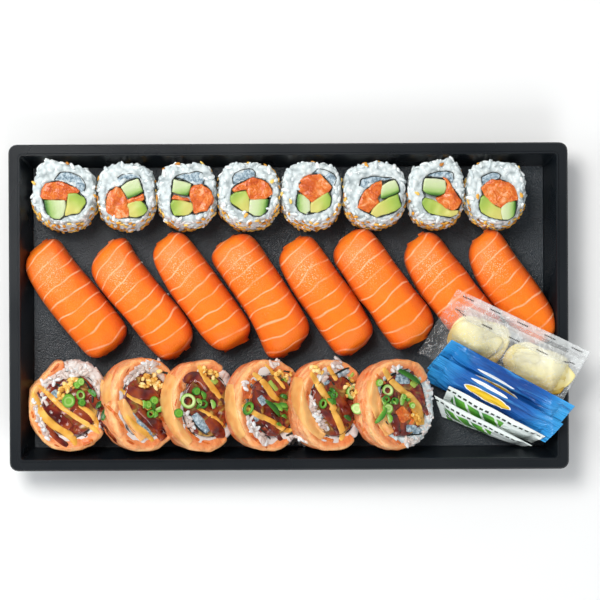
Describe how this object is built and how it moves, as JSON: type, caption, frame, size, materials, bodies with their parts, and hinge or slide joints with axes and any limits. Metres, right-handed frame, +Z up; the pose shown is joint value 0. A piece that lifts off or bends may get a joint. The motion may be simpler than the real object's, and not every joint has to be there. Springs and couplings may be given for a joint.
{
  "type": "takeaway sushi tray",
  "caption": "Shallow black takeaway tray filled with inside-out rolls, salmon nigiri and a fanned row of topped salmon rolls, with sachets of ginger, soy sauce and wasabi.",
  "frame": {"origin": "middle of the flat underside of the tray's floor", "axes": "+X along the tray's long side, +Y towards the row of inside-out rolls, +Z up out of the tray"},
  "size_m": [0.291, 0.1634, 0.0351],
  "materials": {
    "tray_plastic": "gloss",
    "sushi_rice": "satin",
    "salmon": "gloss",
    "seared_salmon": "gloss",
    "clear_film": "gloss",
    "soy_sachet_film": "gloss",
    "wasabi_sachet_film": "satin",
    "nori": "satin",
    "cucumber": "satin",
    "avocado": "satin",
    "sesame": "satin",
    "eel_sauce": "gloss",
    "mayonnaise": "gloss",
    "spring_onion": "satin",
    "pickled_ginger": "satin",
    "tempura_crumb": "matt"
  },
  "bodies": {
    "root": {"tray": "tray_plastic", "inside_out_roll_1": "sushi_rice", "inside_out_roll_2": "sushi_rice", "inside_out_roll_3": "sushi_rice", "inside_out_roll_4": "sushi_rice", "inside_out_roll_5": "sushi_rice", "inside_out_roll_6": "sushi_rice", "inside_out_roll_7": "sushi_rice", "inside_out_roll_8": "sushi_rice", "salmon_nigiri_1": "salmon", "salmon_nigiri_2": "salmon", "salmon_nigiri_3": "salmon", "salmon_nigiri_4": "salmon", "salmon_nigiri_5": "salmon", "salmon_nigiri_6": "salmon", "salmon_nigiri_7": "salmon", "salmon_nigiri_8": "salmon", "topped_roll_1": "seared_salmon", "topped_roll_2": "seared_salmon", "topped_roll_3": "seared_salmon", "topped_roll_4": "seared_salmon", "topped_roll_5": "seared_salmon", "topped_roll_6": "seared_salmon", "ginger_sachet": "clear_film", "soy_sachet_1": "soy_sachet_film", "soy_sachet_2": "soy_sachet_film", "wasabi_sachet_1": "wasabi_sachet_film", "wasabi_sachet_2": "wasabi_sachet_film"}
  },
  "joints": []
}
